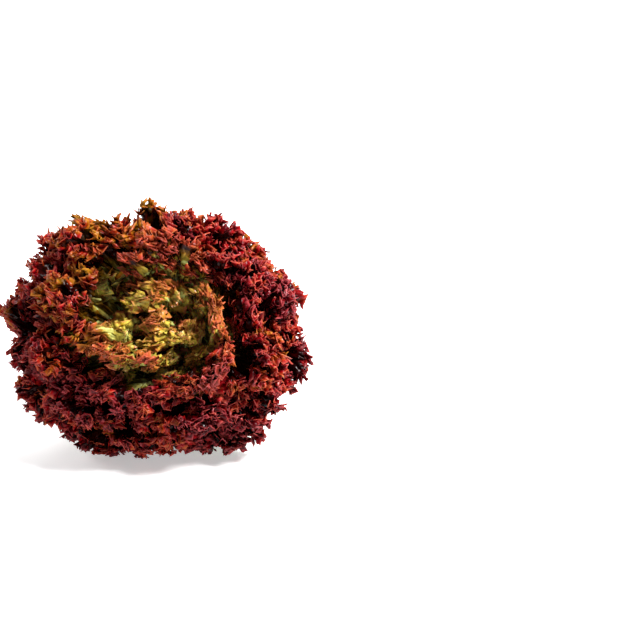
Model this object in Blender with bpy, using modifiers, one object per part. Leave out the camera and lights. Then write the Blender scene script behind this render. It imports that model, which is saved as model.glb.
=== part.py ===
"""A head of red frilled loose-leaf lettuce, cut at the stem and lying on its side.

The leaves grow round a short stem in a spiral, oldest and outermost first. Every leaf is a thin shell
that lies on its own layer of a nested family of surfaces, which start on the stem and end on the head's
dome, so that leaves lie over each other and never cross. The head is modelled standing on its cut
stem, in a frame of its own with +Z through the crown, and that frame is then leaned over until the head
rests on the edge of its stem and the rims of its lowest leaves.
"""

import math

import bpy
from mathutils import Vector

# The whole head
HEAD_HALF_WIDTH = 0.1135
HEAD_LENGTH = 0.196
DOME_DEPTH = 0.084
UPPER_SQUASH = 0.92
LOWER_SQUASH = 0.80
SQUASH_BLEND = 0.030
SQUASH_CORE = 0.035
LEAN_DEGREES = 38.0

# The stem: a cut disc below and a rounded core above it, on which the leaves stand
CUT_RADIUS = 0.0145
CUT_CHAMFER = 0.0012
CUT_DISC_HEIGHT = 0.004
NECK_HEIGHT = 0.008
CORE_RADIUS = 0.0140
CORE_HEIGHT = 0.052
STEM_SIDES = 28
CORE_STEPS = 9
MERGE_DISTANCE = 0.00005

# The leaves
LEAF_COUNT = 30
GOLDEN_ANGLE = math.pi * (3 - math.sqrt(5))
FIRST_AZIMUTH = math.radians(248)
OUTER_RIM_ANGLE = math.radians(104)
HEART_RIM_ANGLE = math.radians(8)
OUTER_SPREAD = math.radians(56)
HEART_SPREAD = math.radians(4)
OUTER_CORE_ANGLE = 0.0
HEART_CORE_ANGLE = math.radians(79)
RIM_ROLL = math.radians(14)
ROLL_POWER = 2
MERIDIAN_PULL = 0.38
OUTER_HALF_WIDTH = 0.062
HEART_HALF_WIDTH = 0.040
OUTER_FOOT_WIDTH = 0.0130
HEART_FOOT_WIDTH = 0.0026
WIDTH_REACH = 1.08
WIDTH_POWER = 0.9
WIDEST_WRAP = math.radians(67)
SHOULDER_DROP = 0.20
SHOULDER_POWER = 3
OUTER_RIB = 0.0028
HEART_RIB = 0.0011
BLADE_THICKNESS = 0.0012
FOOT_GAP = 0.0003
RUFFLE_LAYERS = 0.8
RUFFLE_WAVES = 2.5
RUFFLE_RISE = 3.0
LEAF_COLUMNS = 12
LEAF_ROWS = 6
OUTER_LEAVES = 11
MIDDLE_LEAVES = 11

# Colour, roughness
STEM_COLOUR = (0.78, 0.62, 0.34, 1.0)
OUTER_COLOUR = (0.16, 0.02, 0.02, 1.0)
MIDDLE_COLOUR = (0.27, 0.04, 0.02, 1.0)
HEART_COLOUR = (0.38, 0.33, 0.05, 1.0)
LEAF_ROUGHNESS = 0.45
STEM_ROUGHNESS = 0.6

DOME_CENTRE = HEAD_LENGTH - DOME_DEPTH


def clear_scene():
    """Remove every object of the startup scene."""
    for obj in list(bpy.data.objects):
        bpy.data.objects.remove(obj)


def mix(start, end, share):
    """Return the value that lies this share of the way from start to end."""
    return start + (end - start) * share


def smooth_step(share):
    """Return an eased 0 to 1 for a share of 0 to 1."""
    share = min(1.0, max(0.0, share))
    return share * share * (3 - 2 * share)


def direction(angle):
    """Return a unit vector in the (radius, height) plane, at this angle from the head's axis."""
    return Vector((math.sin(angle), math.cos(angle)))


def rim_angle(layer):
    """Return the angle from the crown at which a layer meets the dome, with equal areas between layers."""
    outer, heart = math.cos(OUTER_RIM_ANGLE), math.cos(HEART_RIM_ANGLE)
    return math.acos(mix(outer, heart, layer))


def core_point(layer):
    """Return the (radius, height) at which a layer starts on the stem's core."""
    angle = mix(OUTER_CORE_ANGLE, HEART_CORE_ANGLE, layer)
    return Vector((CORE_RADIUS * math.cos(angle), NECK_HEIGHT + CORE_HEIGHT * math.sin(angle)))


def rib_thickness(layer):
    """Return how thick the midrib of a leaf on this layer is at its foot."""
    return mix(OUTER_RIB, HEART_RIB, layer)


def meridian(layer, along):
    """Return the (radius, height) on a layer, from the stem at along 0 to the dome at along 1."""
    spread = mix(OUTER_SPREAD, HEART_SPREAD, layer)
    foot_direction = direction(spread)
    clear_of_stem = FOOT_GAP + rib_thickness(layer) / 2
    foot = core_point(layer) + Vector((clear_of_stem, 0))
    angle = rim_angle(layer)
    rim = Vector((HEAD_HALF_WIDTH * math.sin(angle), DOME_CENTRE + DOME_DEPTH * math.cos(angle)))
    roll = RIM_ROLL * (1 - layer) ** ROLL_POWER
    rim_direction = direction(angle + roll)
    reach = (rim - foot).length * MERIDIAN_PULL
    first, second = foot + foot_direction * reach, rim - rim_direction * reach
    rest = 1 - along
    return (
        foot * rest**3
        + first * (3 * rest**2 * along)
        + second * (3 * rest * along**2)
        + rim * along**3
    )


def half_width(layer, along):
    """Return half the leaf's width, which grows from its foot to a broad rounded end."""
    foot = mix(OUTER_FOOT_WIDTH, HEART_FOOT_WIDTH, layer)
    widest = mix(OUTER_HALF_WIDTH, HEART_HALF_WIDTH, layer)
    return mix(foot, widest, smooth_step(along * WIDTH_REACH) ** WIDTH_POWER)


def squash(point):
    """Return the point as the head's own weight leaves it: a little flat above, and flatter below."""
    mean, swing = (UPPER_SQUASH + LOWER_SQUASH) / 2, (UPPER_SQUASH - LOWER_SQUASH) / 2
    factor = mean + swing * math.tanh(point.y / SQUASH_BLEND)
    distance = math.hypot(point.x, point.y)
    share = distance**2 / (distance**2 + SQUASH_CORE**2)
    return Vector((point.x, point.y * mix(1.0, factor, share), point.z))


def leaf_point(index, across, along):
    """Return a point of a leaf's middle surface, with across from -1 to 1 and along from 0 to 1."""
    layer = index / (LEAF_COUNT - 1)
    along *= 1 - SHOULDER_DROP * abs(across) ** SHOULDER_POWER
    wave = math.sin(2 * math.pi * RUFFLE_WAVES * across + index) * along**RUFFLE_RISE
    ruffled = layer + RUFFLE_LAYERS * wave / (LEAF_COUNT - 1)
    radius, height = meridian(min(1.0, max(0.0, ruffled)), along)
    plain_radius = meridian(layer, along)[0]
    wrap = across * half_width(layer, along) / plain_radius
    wrap = WIDEST_WRAP * math.tanh(wrap / WIDEST_WRAP)
    azimuth = FIRST_AZIMUTH + index * GOLDEN_ANGLE + wrap
    return squash(Vector((radius * math.cos(azimuth), radius * math.sin(azimuth), height)))


def leaf_thickness(index, across, along):
    """Return the leaf's thickness there: a rib that fades outwards and upwards into a thin blade."""
    rib = rib_thickness(index / (LEAF_COUNT - 1))
    fade = (1 - abs(across)) * (1 - along)
    return max(mix(BLADE_THICKNESS, rib, fade), min(rib, BLADE_THICKNESS))


def finish_of(name, colour, roughness):
    """Return a plain material with one colour and roughness."""
    material = bpy.data.materials.new(name)
    material.use_nodes = True
    shader = material.node_tree.nodes["Principled BSDF"]
    shader.inputs["Base Color"].default_value = colour
    shader.inputs["Roughness"].default_value = roughness
    shader.inputs["Metallic"].default_value = 0.0
    return material


def place(obj, collection, frame, material):
    """Put an object in the head's collection and frame, with its material."""
    for old in list(obj.users_collection):
        old.objects.unlink(obj)
    collection.objects.link(obj)
    obj.parent = frame
    obj.data.materials.append(material)


def build_stem(collection, frame, material):
    """Build the stem as a turned shape: its profile runs from the core's top down to the cut face."""
    profile = [(0.0, NECK_HEIGHT + CORE_HEIGHT)]
    for step in range(1, CORE_STEPS):
        angle = math.pi / 2 * (1 - step / (CORE_STEPS - 1))
        profile.append((CORE_RADIUS * math.cos(angle), NECK_HEIGHT + CORE_HEIGHT * math.sin(angle)))
    profile.append((CUT_RADIUS, CUT_DISC_HEIGHT))
    profile.append((CUT_RADIUS, CUT_CHAMFER))
    profile.append((CUT_RADIUS - CUT_CHAMFER, 0.0))
    profile.append((0.0, 0.0))
    mesh = bpy.data.meshes.new("stem")
    points = [(radius, 0.0, height) for radius, height in profile]
    edges = [(i, i + 1) for i in range(len(points) - 1)]
    mesh.from_pydata(points, edges, [])
    stem = bpy.data.objects.new("stem", mesh)
    bpy.context.scene.collection.objects.link(stem)
    place(stem, collection, frame, material)
    screw = stem.modifiers.new("turn", "SCREW")
    screw.steps = screw.render_steps = STEM_SIDES
    screw.use_merge_vertices = True
    screw.merge_threshold = MERGE_DISTANCE
    screw.use_smooth_shade = True


def leaf_name(index):
    """Return the name of a leaf, counted from the outside within its ring."""
    if index < OUTER_LEAVES:
        return f"outer_leaf_{index + 1:02d}"
    index -= OUTER_LEAVES
    if index < MIDDLE_LEAVES:
        return f"middle_leaf_{index + 1:02d}"
    return f"heart_leaf_{index - MIDDLE_LEAVES + 1:02d}"


def build_leaf(index, collection, frame, material):
    """Build one leaf: a flat sheet bent onto its layer, then thickened, most along its rib."""
    bpy.ops.mesh.primitive_grid_add(x_subdivisions=LEAF_COLUMNS, y_subdivisions=LEAF_ROWS, size=2)
    leaf = bpy.context.object
    leaf.name = leaf_name(index)
    rib = leaf.vertex_groups.new(name="thickness")
    thickest = max(rib_thickness(index / (LEAF_COUNT - 1)), BLADE_THICKNESS)
    for vertex in leaf.data.vertices:
        across, along = vertex.co.x, (vertex.co.y + 1) / 2
        rib.add([vertex.index], leaf_thickness(index, across, along) / thickest, "REPLACE")
        vertex.co = leaf_point(index, across, along)
    leaf.data.shade_smooth()
    shell = leaf.modifiers.new("shell", "SOLIDIFY")
    shell.thickness = thickest
    shell.offset = 0.0
    shell.vertex_group = rib.name
    place(leaf, collection, frame, material)


def settle(frame, collection):
    """Stand the leaned head on the plane z = 0, with its box centred over the origin."""
    bpy.context.view_layer.update()
    graph = bpy.context.evaluated_depsgraph_get()
    corners = []
    for obj in collection.objects:
        shape = obj.evaluated_get(graph)
        corners += [shape.matrix_world @ vertex.co for vertex in shape.data.vertices]
    low = [min(corner[axis] for corner in corners) for axis in range(3)]
    high = [max(corner[axis] for corner in corners) for axis in range(3)]
    frame.location = (-(low[0] + high[0]) / 2, -(low[1] + high[1]) / 2, -low[2])


def main():
    """Build the stem and the leaves in the head's frame, lean the frame over and settle it."""
    clear_scene()
    collection = bpy.data.collections.new("lettuce_head")
    bpy.context.scene.collection.children.link(collection)
    frame = bpy.data.objects.new("head_frame", None)
    bpy.context.scene.collection.objects.link(frame)
    frame.rotation_euler = (math.radians(90 - LEAN_DEGREES), 0, 0)
    build_stem(collection, frame, finish_of("cut_stem", STEM_COLOUR, STEM_ROUGHNESS))
    outer = finish_of("outer_leaf", OUTER_COLOUR, LEAF_ROUGHNESS)
    middle = finish_of("middle_leaf", MIDDLE_COLOUR, LEAF_ROUGHNESS)
    heart = finish_of("heart_leaf", HEART_COLOUR, LEAF_ROUGHNESS)
    finishes = [outer] * OUTER_LEAVES + [middle] * MIDDLE_LEAVES
    finishes += [heart] * (LEAF_COUNT - len(finishes))
    for index, finish in enumerate(finishes):
        build_leaf(index, collection, frame, finish)
    settle(frame, collection)


main()
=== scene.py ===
"""A head of red frilled loose-leaf lettuce, cut at the stem and lying on its side, in a white studio.

The leaves grow round a short stem in a spiral, oldest first. Each lies on its own layer of a nested family
of surfaces that start on the stem and end on the head's dome. A leaf starts as a flat blank, is bent onto
its layer, and is then ruffled twice, the second time finer and along the margin that the first ruffle has
lengthened, as a growing leaf's margin buckles. The crests of the last ruffle are left as fingers, which end
in small curled lobes. A leaf is thick and cream at its foot, green along its blade, and red where its
margin meets the light.
"""

from __future__ import annotations

import logging
import math
from collections.abc import Iterator
from dataclasses import dataclass, field, replace
from enum import Enum
from typing import ClassVar

import bmesh
import bpy
import numpy as np
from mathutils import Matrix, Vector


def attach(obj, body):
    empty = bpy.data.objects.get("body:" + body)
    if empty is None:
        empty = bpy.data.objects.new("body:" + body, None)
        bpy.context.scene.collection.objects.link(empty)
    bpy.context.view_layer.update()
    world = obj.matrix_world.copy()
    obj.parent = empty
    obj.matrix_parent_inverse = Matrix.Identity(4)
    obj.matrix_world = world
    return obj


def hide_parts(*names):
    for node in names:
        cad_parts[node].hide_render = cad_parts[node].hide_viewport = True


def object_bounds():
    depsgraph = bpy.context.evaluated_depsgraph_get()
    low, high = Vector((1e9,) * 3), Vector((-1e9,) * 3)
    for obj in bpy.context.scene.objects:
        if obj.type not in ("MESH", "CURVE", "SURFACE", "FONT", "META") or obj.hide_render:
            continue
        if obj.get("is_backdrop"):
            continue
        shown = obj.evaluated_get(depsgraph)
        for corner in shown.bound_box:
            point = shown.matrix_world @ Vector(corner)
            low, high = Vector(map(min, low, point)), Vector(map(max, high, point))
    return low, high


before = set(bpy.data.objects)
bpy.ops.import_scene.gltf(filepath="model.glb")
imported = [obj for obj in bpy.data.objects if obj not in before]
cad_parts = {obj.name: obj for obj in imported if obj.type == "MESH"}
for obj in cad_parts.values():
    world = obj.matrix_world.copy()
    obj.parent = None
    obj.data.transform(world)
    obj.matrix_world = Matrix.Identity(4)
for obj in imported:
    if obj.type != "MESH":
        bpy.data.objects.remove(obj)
CAD_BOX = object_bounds()

Number = float | np.ndarray
Pair = tuple[float, float]

BODY = "root"
SEED = 41
CURVE_SEEDS = 1000
LOBE_SEEDS = 77
SEEDS_PER_LEAF = 10
TO_MM = 1000.0
TOUCHING = 1e-6
TURN = 2 * math.pi
GOLDEN_ANGLE = math.pi * (3 - math.sqrt(5))
log = logging.getLogger("lettuce")


# ---------------------------------------------------------------------------------------------------
# Small helpers
# ---------------------------------------------------------------------------------------------------


def mix(start: Number, end: Number, share: Number) -> Number:
    """Return the value that lies this share of the way from start to end."""
    return start + (end - start) * share


def smooth_step(low: Number, high: Number, value: Number) -> Number:
    """Return an eased 0 to 1 as a value goes from low to high.

    Args:
        low: The value that gives 0.
        high: The value that gives 1. It may be less than low.
        value: A number or an array.

    Returns:
        A number or an array, as the value is.
    """
    share = np.clip((value - low) / (high - low), 0.0, 1.0)
    return share * share * (3 - 2 * share)


def hump(away: Number, spread: float) -> Number:
    """Return a bell-shaped 1 to 0 as a value leaves 0, which is about a third at the spread."""
    return np.exp(-((away / spread) ** 2))


def drift(seed: int, knots: int, places: np.ndarray) -> np.ndarray:
    """Return a smooth random curve between about -1 and 1.

    Args:
        seed: What makes this curve different from others.
        knots: How many random values the curve passes through.
        places: Where to read it, from 0 to 1.

    Returns:
        The curve's value at each place.
    """
    values = np.random.default_rng(SEED * CURVE_SEEDS + seed).uniform(-1, 1, knots + 3)
    position = np.clip(places, 0, 1) * knots
    left = np.floor(position).astype(int)
    return mix(values[left], values[left + 1], smooth_step(0, 1, position - left))


def unit(vectors: np.ndarray) -> np.ndarray:
    """Return the vectors, which lie along the last axis, at a length of 1."""
    return vectors / np.maximum(np.linalg.norm(vectors, axis=-1, keepdims=True), 1e-12)


def steps(line: np.ndarray) -> np.ndarray:
    """Return the length of each step along a line of points."""
    return np.linalg.norm(np.diff(line, axis=0), axis=1)


def total(lengths: np.ndarray) -> np.ndarray:
    """Return how far along a line each of its points is, from the lengths of its steps."""
    return np.concatenate([[0.0], np.cumsum(lengths)])


def points_of(mesh: bpy.types.Mesh) -> np.ndarray:
    """Return a mesh's points.

    Args:
        mesh: The mesh.

    Returns:
        Its points, one to a row.
    """
    points = np.empty(len(mesh.vertices) * 3)
    mesh.vertices.foreach_get("co", points)
    return points.reshape(-1, 3)


def write_attributes(mesh: bpy.types.Mesh, values: dict[str, np.ndarray]) -> None:
    """Write named values on a mesh's points, for its material to read.

    Args:
        mesh: The mesh.
        values: By name, a value for each point.
    """
    for name, value in values.items():
        layer = mesh.attributes.new(name, "FLOAT", "POINT")
        layer.data.foreach_set("value", value.astype(np.float32))


def deselect_all() -> None:
    """Leave nothing selected, so that an operator acts only on the piece in hand."""
    if bpy.context.object and bpy.context.object.mode != "OBJECT":
        bpy.ops.object.mode_set(mode="OBJECT")
    bpy.ops.object.select_all(action="DESELECT")


def take_up(piece: bpy.types.Object) -> None:
    """Make a piece the only one selected, and the active one.

    Args:
        piece: The piece.
    """
    deselect_all()
    piece.select_set(True)
    bpy.context.view_layer.objects.active = piece


def dress(piece: bpy.types.Object, material: bpy.types.Material) -> None:
    """Give a piece one material in place of any it has."""
    piece.data.materials.clear()
    piece.data.materials.append(material)


def linear(colour: str) -> tuple[float, float, float, float]:
    """Return an sRGB hex colour as the linear colour that a shader takes."""
    parts = [int(colour[i : i + 2], 16) / 255 for i in (1, 3, 5)]
    return (*[c / 12.92 if c <= 0.04045 else ((c + 0.055) / 1.055) ** 2.4 for c in parts], 1.0)


def per_metre(millimetres: float) -> float:
    """Return the scale at which a pattern repeats about once in a real size."""
    return TO_MM / millimetres


def add_node(tree: bpy.types.NodeTree, kind: str, links: dict | None = None, **settings) -> bpy.types.Node:
    """Add a shader node with its settings, and set or link its inputs.

    Args:
        tree: The node tree that it joins.
        kind: The node's type, without the ShaderNode that it starts with.
        links: For each input, by name or number, a node whose first open output it takes, another
            node's output or a plain value. A tuple of inputs takes as many of them.
        **settings: The node's own properties.

    Returns:
        The node.
    """
    node = tree.nodes.new("ShaderNode" + kind)
    for name, value in settings.items():
        setattr(node, name, value)
    for names, values in (links or {}).items():
        for name, value in zip(names, values) if isinstance(names, tuple) else ((names, values),):
            if isinstance(value, bpy.types.Node):
                value = next(output for output in value.outputs if output.enabled)
            if isinstance(value, bpy.types.NodeSocket):
                tree.links.new(value, node.inputs[name])
            else:
                node.inputs[name].default_value = value
    return node


def fill_ramp(ramp: bpy.types.Node, stops: tuple[tuple[float, str], ...]) -> None:
    """Give a colour ramp its stops, each a position and a hex colour.

    Args:
        ramp: The colour ramp's node.
        stops: Each stop's position and hex colour, in order.
    """
    elements = ramp.color_ramp.elements
    while len(elements) > 1:
        elements.remove(elements[-1])
    elements[0].position, elements[0].color = stops[0][0], linear(stops[0][1])
    for position, colour in stops[1:]:
        elements.new(position).color = linear(colour)


# ---------------------------------------------------------------------------------------------------
# The head
# ---------------------------------------------------------------------------------------------------


@dataclass(frozen=True)
class Tuft:
    """A place round the head where its leaves bunch and stand proud, or part and leave a dip.

    Angles are in degrees. The height is a share of the head's radius, and is negative for a dip.
    """

    azimuth: float
    spread: float
    height: float

    def swell(self, azimuth: np.ndarray) -> np.ndarray:
        """Return how far the leaves stand out at each azimuth, as a share of the head's radius."""
        away = (azimuth - math.radians(self.azimuth) + math.pi) % TURN - math.pi
        return self.height * hump(away, math.radians(self.spread))


@dataclass(frozen=True)
class HeadShape:
    """The nested surfaces that the leaves lie on, in metres, in a frame with +Z through the crown.

    A layer runs from 0 for the outermost surface to 1 for the innermost.
    """

    half_width: float = 0.1135
    length: float = 0.196
    dome_depth: float = 0.084
    upper_squash: float = 0.92
    lower_squash: float = 0.80
    squash_blend: float = 0.030
    squash_core: float = 0.035
    shoulder_swell: float = 0.040
    skew: float = 0.042
    skew_azimuth: float = math.radians(-32)
    tufts: tuple[Tuft, ...] = (
        Tuft(azimuth=97, spread=6, height=0.03),
        Tuft(azimuth=109, spread=8, height=-0.18),
        Tuft(azimuth=124, spread=9, height=0.13),
        Tuft(azimuth=166, spread=10, height=0.09),
        Tuft(azimuth=182, spread=7, height=-0.17),
        Tuft(azimuth=266, spread=12, height=0.06),
        Tuft(azimuth=310, spread=8, height=0.04),
        Tuft(azimuth=330, spread=14, height=0.04),
        Tuft(azimuth=0, spread=7, height=-0.06),
    )
    heart_shift: float = 0.025
    heart_spread: float = 0.045
    heart_heights: Pair = (0.06, 0.15)
    lean: float = math.radians(38)
    neck_height: float = 0.008
    core_radius: float = 0.0140
    core_height: float = 0.052
    foot_gaps: Pair = (0.0017, 0.0009)
    outer_rim_angle: float = math.radians(104)
    heart_rim_angle: float = math.radians(8)
    outer_spread: float = math.radians(56)
    heart_opening: float = math.radians(4)
    heart_core_angle: float = math.radians(79)
    rim_roll: float = math.radians(14)
    meridian_pull: float = 0.38
    meridian_steps: int = 60
    widest_wrap: float = math.radians(67)
    under_taper: float = 1.6

    @property
    def dome_centre(self) -> float:
        """The height of the dome's centre above the cut."""
        return self.length - self.dome_depth

    @property
    def crown(self) -> np.ndarray:
        """The direction in the world from the cut to the crown."""
        return np.array([0.0, -math.cos(self.lean), math.sin(self.lean)])

    @property
    def upper(self) -> np.ndarray:
        """The direction in the world of the head frame's +Y, which is the head's upper side."""
        return np.array([0.0, math.sin(self.lean), math.cos(self.lean)])

    def cut_centre(self) -> np.ndarray:
        """Return where the middle of the cut face is in the world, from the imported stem.

        Returns:
            The point halfway across the stem both ways, at its lowest along the head's axis.
        """
        stem = points_of(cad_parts["stem"].data)
        along = stem @ self.crown
        across = stem @ self.upper
        middle = (across.min() + across.max()) / 2
        side = (stem[:, 0].min() + stem[:, 0].max()) / 2
        return np.array([side, 0.0, 0.0]) + self.crown * along.min() + self.upper * middle

    def to_world(self, points: np.ndarray) -> np.ndarray:
        """Return points of the head's frame in the world's frame.

        Args:
            points: Points of the head's frame.

        Returns:
            The same points in the world.
        """
        x_axis = np.array([1.0, 0.0, 0.0])
        turned = points[..., :1] * x_axis + points[..., 1:2] * self.upper + points[..., 2:] * self.crown
        return turned + self.cut_centre()

    def rim_angle(self, layer: Number) -> Number:
        """Return the angle from the crown at which a layer meets the dome."""
        return np.arccos(mix(math.cos(self.outer_rim_angle), math.cos(self.heart_rim_angle), layer))

    def meridian(self, layer: Number, along: Number) -> tuple[np.ndarray, np.ndarray]:
        """Return places on a layer's curve from the stem to the dome.

        Args:
            layer: The layer of each place.
            along: How far along the curve each place is, from 0 on the stem to 1 on the dome.

        Returns:
            The radius and the height of each place.
        """
        spread = mix(self.outer_spread, self.heart_opening, layer)
        core = self.heart_core_angle * layer
        foot_radius = self.core_radius * np.cos(core) + mix(*self.foot_gaps, layer)
        foot_height = self.neck_height + self.core_height * np.sin(core)
        angle = self.rim_angle(layer)
        rim_radius = self.half_width * np.sin(angle)
        rim_height = self.dome_centre + self.dome_depth * np.cos(angle)
        rolled = angle + self.rim_roll * (1 - layer) ** 2
        reach = np.hypot(rim_radius - foot_radius, rim_height - foot_height) * self.meridian_pull
        radii = (foot_radius, foot_radius + np.sin(spread) * reach, rim_radius - np.sin(rolled) * reach)
        heights = (foot_height, foot_height + np.cos(spread) * reach, rim_height - np.cos(rolled) * reach)
        rest = 1 - along
        weights = (rest**3, 3 * rest**2 * along, 3 * rest * along**2, along**3)
        radius = sum(weight * value for weight, value in zip(weights, (*radii, rim_radius)))
        height = sum(weight * value for weight, value in zip(weights, (*heights, rim_height)))
        return radius, height

    def meridian_length(self, layer: float) -> float:
        """Return how long a layer's curve is from the stem to the dome."""
        radius, height = self.meridian(layer, np.linspace(0, 1, self.meridian_steps))
        return float(np.hypot(np.diff(radius), np.diff(height)).sum())

    def squash(self, points: np.ndarray) -> np.ndarray:
        """Return points as the head's own weight and its bunched leaves shape it.

        Args:
            points: Points of a round head.

        Returns:
            The points of a head that is a little flat above and flatter below, with its tufts and dips,
            and with its heart grown a little to one side.
        """
        x, y = points[..., 0], points[..., 1]
        mean = (self.upper_squash + self.lower_squash) / 2
        swing = (self.upper_squash - self.lower_squash) / 2
        factor = mean + swing * np.tanh(y / self.squash_blend)
        away = x**2 + y**2
        share = away / (away + self.squash_core**2)
        azimuth = np.arctan2(y, x)
        skew = self.skew * np.cos(2 * (azimuth - self.skew_azimuth))
        bunched = sum(tuft.swell(azimuth) for tuft in self.tufts)
        swell = 1 + share * (self.shoulder_swell * np.sin(2 * azimuth) ** 2 + skew + share**3 * bunched)
        raised = smooth_step(*self.heart_heights, points[..., 2])
        aside = self.heart_shift * np.exp(-away / self.heart_spread**2) * raised
        return np.stack([x * swell + aside, y * swell * mix(1.0, factor, share), points[..., 2]], axis=-1)

    def depth(self, points: np.ndarray) -> np.ndarray:
        """Return how far inside the dome points of the head's frame lie, in metres.

        Args:
            points: Points of the head's frame.

        Returns:
            Each point's depth, negative outside.
        """
        x, y = points[..., 0], points[..., 1]
        y = y / np.where(y > 0, self.upper_squash, self.lower_squash)
        radius = np.hypot(x, y) / self.half_width
        height = (points[..., 2] - self.dome_centre) / self.dome_depth
        height = np.where(height < 0, height * self.under_taper, height)
        return (1 - np.hypot(radius, height)) * self.half_width


HEAD = HeadShape()


# ---------------------------------------------------------------------------------------------------
# Leaves
# ---------------------------------------------------------------------------------------------------


class Ring(Enum):
    """Where in the head a leaf grows, which also names the leaf."""

    OUTER = "outer_leaf"
    MIDDLE = "middle_leaf"
    HEART = "heart_leaf"


@dataclass(frozen=True)
class SlowCurve:
    """A random curve along a leaf's margin: its seed, how far it swings and how many values it passes."""

    seed: int
    swing: float
    knots: int = 0

    def along(self, index: int, places: np.ndarray, knots: int = 0) -> np.ndarray:
        """Return the curve of one leaf.

        Args:
            index: The leaf's number, which sets its curve apart.
            places: Where to read it, from 0 to 1.
            knots: How many values it passes, where the leaf decides that.

        Returns:
            The curve's value at each place.
        """
        return self.swing * drift(index + self.seed, knots or self.knots, places)


@dataclass(frozen=True)
class Ruffle:
    """One level of a leaf's frill, in metres: waves that stand across the blade and grow to its margin."""

    wavelength: float
    height: float
    reach: float
    rise: float
    sway: float = 0.07
    unevenness: float = 0.35
    side_share: float = 0.45
    wander: float = 0.9
    wander_length: float = 0.030
    wander_start: float = 3.0
    waves_per_pace: float = 1.5
    heights_per_wave: float = 2.0
    heights_per_start: int = 3
    height_seed: int = 5
    start_seed: int = 7

    def scaled(self, scale: float) -> Ruffle:
        """Return the ruffle with its waves this many times as long and as high."""
        return replace(self, wavelength=self.wavelength * scale, height=self.height * scale)

    def laid_on(
        self,
        points: np.ndarray,
        distance: np.ndarray,
        leaf: int,
        level: int,
        free: np.ndarray,
        full: np.ndarray,
    ) -> tuple[np.ndarray, np.ndarray]:
        """Lay the ruffle on a leaf, along the margin as it now is.

        Args:
            points: The leaf by row and column.
            distance: Each point's distance to the margin on the flat leaf.
            leaf: The leaf's number.
            level: Which of the leaf's ruffles this is.
            free: For each column, how free the margin is of the stem, from 0 to 1.
            full: For each column, how far the leaf's side has given way to its frilled top, from 0 to 1.

        Returns:
            The ruffled leaf, and the ruffle's phase at each column.
        """
        columns = np.linspace(0, 1, points.shape[1])
        seed = leaf * SEEDS_PER_LEAF + level
        step = steps(points[0])
        margin = total(step)[-1]
        pace = 1 + self.unevenness * drift(seed, int(margin / self.wavelength / self.waves_per_pace), columns)
        phase = TURN * total(step * pace[1:]) / self.wavelength + leaf
        knots = int(margin / self.wavelength * self.heights_per_wave)
        height = self.height * (1 + self.unevenness * drift(seed + self.height_seed, knots, columns))
        height = height * free * mix(self.side_share, 1.0, full)
        weight = np.clip(1 - distance / self.reach, 0, 1) ** self.rise
        over = np.gradient(points, axis=1)
        normal = unit(np.cross(over, np.gradient(points, axis=0)))
        start = TURN * drift(seed + self.start_seed, knots // self.heights_per_start, columns)
        bent = self.wander * np.sin(TURN * distance / self.wander_length + start)
        bent = phase + bent * np.clip(distance / self.reach * self.wander_start, 0, 1)
        points = points + normal * (weight * height * np.sin(bent))[..., None]
        sway = self.sway * self.wavelength * weight * np.sin(2 * bent)
        return points - unit(over) * sway[..., None], phase


@dataclass
class Lobes:
    """The small lobes along a margin: for each column, how its lobe reaches out, cups and curls.

    A lobe is a few columns wide, and its reach runs from -1 in its notches to nearly 1 at its tip.
    """

    columns: int
    seed: int
    widths: tuple[int, ...] = (3, 4, 5, 6)
    width_chances: tuple[float, ...] = (0.48, 0.30, 0.10, 0.12)
    rise: float = 1.9
    roundness: float = 0.6
    forked_width: int = 6
    fork_depth: float = 0.55
    fork_spread: float = 0.1
    lengths: Pair = (0.55, 1.30)
    ragged: Pair = (0.65, 1.35)
    curls: Pair = (0.1, 1.45)
    clubbing: float = 0.42

    def __post_init__(self) -> None:
        """Shape the lobes, one after another along the margin."""
        chance = np.random.default_rng(SEED * LOBE_SEEDS + self.seed)
        width = chance.choice(self.widths, self.columns // self.widths[0] + 1, p=self.width_chances)
        count = len(width)
        number = np.repeat(np.arange(count), width)[: self.columns]
        start = np.concatenate([[0], np.cumsum(width)])[number]
        place = (np.arange(self.columns) - start) / width[number]
        fork = self.fork_depth * hump(place - 0.5, self.fork_spread)
        self.reach = self.rise * np.sin(math.pi * place) ** self.roundness - 1
        self.reach = self.reach - fork * (width[number] >= self.forked_width)
        self.length = chance.uniform(*self.lengths, count)[number]
        self.length = self.length * chance.uniform(*self.ragged, self.columns)
        turn = chance.uniform(*self.curls, count) * np.where(np.arange(count) % 2, 1.0, -1.0)
        self.curl = turn[number]
        self.club = -np.sin(TURN * place) * self.clubbing
        self.cup = np.cos(TURN * place) * chance.choice((-1.0, 1.0), count)[number]


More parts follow.
